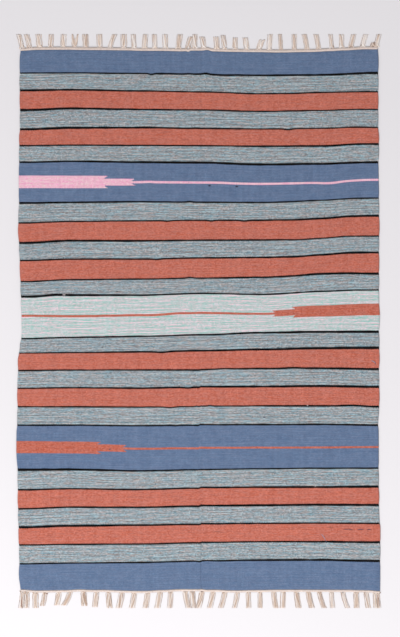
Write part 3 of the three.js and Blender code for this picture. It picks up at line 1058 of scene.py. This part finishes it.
def twisted_yarn_material(name, plies):
    """Two-ply cotton yarn: matt, a little unlike from yarn to yarn, with a groove that winds round
    each yarn between its plies, where painted shade darkens it."""
    material, tree, shader = new_material(name, sheen=0.15)
    along = add_node(tree, "SeparateXYZ", [add_node(tree, "UVMap", uv_map="yarn")])
    around = along.node.outputs["Y"]
    yarn_number = add_node(tree, "Math", [around], operation="FLOOR")
    tone = add_node(tree, "TexWhiteNoise", {"W": yarn_number}, noise_dimensions="1D")
    colour = add_node(tree, "ValToRGB", [tone])
    spread_colours(colour, plies)
    twist = add_node(tree, "Math", [along, 1 / PLY_LENGTH, around], operation="MULTIPLY_ADD")
    twist = add_node(tree, "Math", [twist, 2 * math.pi], operation="MULTIPLY")
    groove = add_node(tree, "Math", [twist], operation="SINE")
    groove = add_node(tree, "Math", [groove], operation="ABSOLUTE")
    # Painted shade: the colour is darker along the groove between the plies
    shade = add_node(tree, "MapRange", {"Value": groove, "To Min": PAINTED_GROOVE_SHADE, "To Max": 1})
    toned = add_node(tree, "VectorMath", {"Vector": colour, "Scale": shade}, operation="SCALE")
    relief = add_node(tree, "Bump", {"Height": groove, "Distance": GROOVE_DEPTH * MM})
    tree.links.new(toned, shader.inputs["Base Color"])
    tree.links.new(relief, shader.inputs["Normal"])
    return material


# The lower fringe's yarns are a little darker than the upper one's
FRINGE_COLOURS = {
    "top": ("#c8b0a0", "#e2cebf", "#eee0d6", "#f7f1ed"),
    "bottom": ("#b29786", "#d2bcab", "#decec3", "#e5dbd4"),
}
for end, bunches in BUNCHES.items():
    yarns = [yarn for number, bunch in enumerate(bunches) for yarn in bunch_yarns(end, bunch, number)]
    material = twisted_yarn_material(f"undyed cotton warp yarn, {end}", FRINGE_COLOURS[end])
    fringe = yarn_object(f"{end}_fringe", yarns, [0] * len(yarns), [material])
    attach(fringe, "root")
    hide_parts(f"fringe_{end}")


# The knots and yarn ends
# Where two lengths of weft were joined, a small knot or a short end of yarn stands out of the
# cloth's face, darker or paler than the yarns around it. Brown and tan yarns also lie among the
# fringes' bunches, as darker marks beside some of them and at their roots. All are cotton.

YarnEnd = namedtuple("YarnEnd", "yarn across along length turned radius")
# The knots are short and thick, and the others thin ends that lie flat. Each is turned by so many
# degrees from the way across the cloth.
YARN_ENDS = [
    YarnEnd("navy", 35, 448, 9, 0, 2.6),
    YarnEnd("navy", 126, 445, 10, 0, 2.2),
    YarnEnd("navy", -34, 459, 3, 0, 0.8),
    YarnEnd("black", -273, 95, 9, 0, 1.3),
    YarnEnd("black", 145, 88, 5, 0, 1.3),
    YarnEnd("black", 263, -91, 7, 0, 1.6),
    YarnEnd("black", -66, -220, 5, 20, 1.4),
    YarnEnd("black", -51, 212, 7, 10, 1.6),
    YarnEnd("navy", 218, -324, 8, 0, 1.6),
    YarnEnd("navy", -297, -430, 5, 0, 1.5),
    YarnEnd("brown", -34, -706, 4, 0, 1.4),
    YarnEnd("navy", -392, -92, 5, 10, 1.0),
    YarnEnd("navy", -322, -90, 6, 0, 1.3),
    YarnEnd("pale", -450, 84, 11, 0, 1.1),
    YarnEnd("pale", 362, -284, 4, 0, 1.2),
    YarnEnd("pale", 388, -554, 4, 0, 1.1),
    YarnEnd("navy", 497, -698, 30, 0, 0.9),
    YarnEnd("navy", 538, -698, 22, 0, 1.0),
    YarnEnd("navy", 567, -698, 14, 0, 1.1),
    YarnEnd("brown", 437, -692, 22, 0, 0.7),
    YarnEnd("brown", 60, -707, 36, 0, 0.7),
    YarnEnd("grey", 414, -723, 29, -56, 1.0),
    YarnEnd("navy", 424, -738, 6, -40, 1.4),
    YarnEnd("grey", 582, -139, 18, -32, 1.3),
    YarnEnd("navy", 588, -144, 5, -60, 1.0),
    YarnEnd("tan", 574, 920, 12, 70, 1.4),
    YarnEnd("tan", 585, 922, 14, 96, 1.4),
    YarnEnd("brown", 580, 911, 6, 10, 1.0),
    YarnEnd("tan", 541, 916, 8, 80, 1.1),
    YarnEnd("tan", 507, 911, 12, 8, 0.8),
    YarnEnd("brown", -589, -942, 40, 88, 1.4),
    YarnEnd("tan", -571, -935, 44, 87, 0.9),
    YarnEnd("brown", -507, -912, 9, -6, 1.1),
    YarnEnd("tan", -542, -911, 6, -20, 0.9),
    YarnEnd("brown", 10, -905, 6, 0, 1.0),
    YarnEnd("brown", 597, -936, 42, -82, 1.0),
]
YARN_END_COLOURS = {
    "navy": ("#222840", "#303856"),
    "black": ("#0c0c10", "#1a1a20"),
    "brown": ("#6e463a", "#8a5c4c"),
    "tan": ("#9a7c6c", "#b09280"),
    "grey": ("#7d8698", "#959db0"),
    "pale": ("#d2c4c8", "#e4dada"),
}
YARN_END_STEPS = 7
YARN_END_BEND = 0.12
# A yarn end is rounded off, but not to a point
YARN_END_BLUNTNESS = 0.05
# Those beyond the cloth's ends lie among a fringe's bunches, at this height
FRINGE_END_HEIGHT = 3.2

colour_names = list(YARN_END_COLOURS)
end_materials = [
    twisted_yarn_material(f"{name} cotton yarn end", YARN_END_COLOURS[name]) for name in colour_names
]
end_paths = []
for yarn_end in YARN_ENDS:
    share = np.linspace(-0.5, 0.5, YARN_END_STEPS)
    run = yarn_end.length * share
    bend = yarn_end.length * YARN_END_BEND * (0.5 - 2 * share**2)
    turned = math.radians(yarn_end.turned)
    x = yarn_end.across + run * math.cos(turned) - bend * math.sin(turned)
    y = yarn_end.along + run * math.sin(turned) + bend * math.cos(turned)
    radius = yarn_end.radius * np.sqrt(1 + YARN_END_BLUNTNESS - (2 * share) ** 2)
    z = ripple_lift(x, y) + CLOTH_THICKNESS
    if abs(yarn_end.along) > CLOTH_LENGTH / 2 + HEADING_GAP:
        z = FRINGE_END_HEIGHT + 0 * x
    end_paths.append(YarnPath(np.stack([x + ORIGIN_X, y + ORIGIN_Y, z], axis=-1), radius))
yarn_ends = yarn_object(
    "yarn_ends",
    end_paths,
    [colour_names.index(yarn_end.yarn) for yarn_end in YARN_ENDS],
    end_materials,
)
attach(yarn_ends, "root")
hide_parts("field")


# The floor, the light and the camera
# A pale, matt floor under a soft even light, with one large lamp beyond the rug's lower left
# corner. The camera looks straight down.

FLOOR_WIDTH_METRES = 14
FLOOR_COLOUR = "#d6d3d5"
EVEN_LIGHT_COLOUR = "#fdfdff"
EVEN_LIGHT_STRENGTH = 0.8
LAMP_PLACE_METRES = Vector((-1.8, -4.8, 4.5))
LAMP_AIM_METRES = Vector((0, -3, 0))
LAMP_WIDTH_METRES = 2.4
LAMP_WATTS = 370
CAMERA_LENS = 100
SENSOR_WIDTH = 36
VIEW_HEIGHT_PIXELS = 637
PIXELS_PER_MM = 0.3
VIEW_CENTRE = (3.33, 5.83)

bpy.ops.object.select_all(action="DESELECT")
bpy.ops.mesh.primitive_plane_add(size=FLOOR_WIDTH_METRES)
floor = bpy.context.object
floor.name = "floor"
floor_material = bpy.data.materials.new("painted floor")
floor_material.use_nodes = True
floor_shader = floor_material.node_tree.nodes["Principled BSDF"]
floor_shader.inputs["Base Color"].default_value = linear(FLOOR_COLOUR)
floor_shader.inputs["Roughness"].default_value = 0.8
floor.data.materials.append(floor_material)

scene = bpy.context.scene
scene.view_settings.view_transform = "Standard"
world = bpy.data.worlds.new("studio")
world.use_nodes = True
even_light = world.node_tree.nodes["Background"]
even_light.inputs["Color"].default_value = linear(EVEN_LIGHT_COLOUR)
even_light.inputs["Strength"].default_value = EVEN_LIGHT_STRENGTH
scene.world = world

bpy.ops.object.light_add(type="AREA", location=LAMP_PLACE_METRES)
lamp = bpy.context.object
lamp.name = "soft_lamp"
lamp.data.size = LAMP_WIDTH_METRES
lamp.data.energy = LAMP_WATTS
lamp.rotation_euler = (LAMP_PLACE_METRES - LAMP_AIM_METRES).to_track_quat("Z", "Y").to_euler()

camera_data = bpy.data.cameras.new("camera")
camera_data.lens = CAMERA_LENS
camera_data.sensor_width = SENSOR_WIDTH
view_height = VIEW_HEIGHT_PIXELS / PIXELS_PER_MM * MM
camera = bpy.data.objects.new("camera", camera_data)
camera.location = (
    (VIEW_CENTRE[0] + ORIGIN_X) * MM,
    (VIEW_CENTRE[1] + ORIGIN_Y) * MM,
    view_height * CAMERA_LENS / SENSOR_WIDTH + CLOTH_THICKNESS * MM,
)
scene.collection.objects.link(camera)
scene.camera = camera
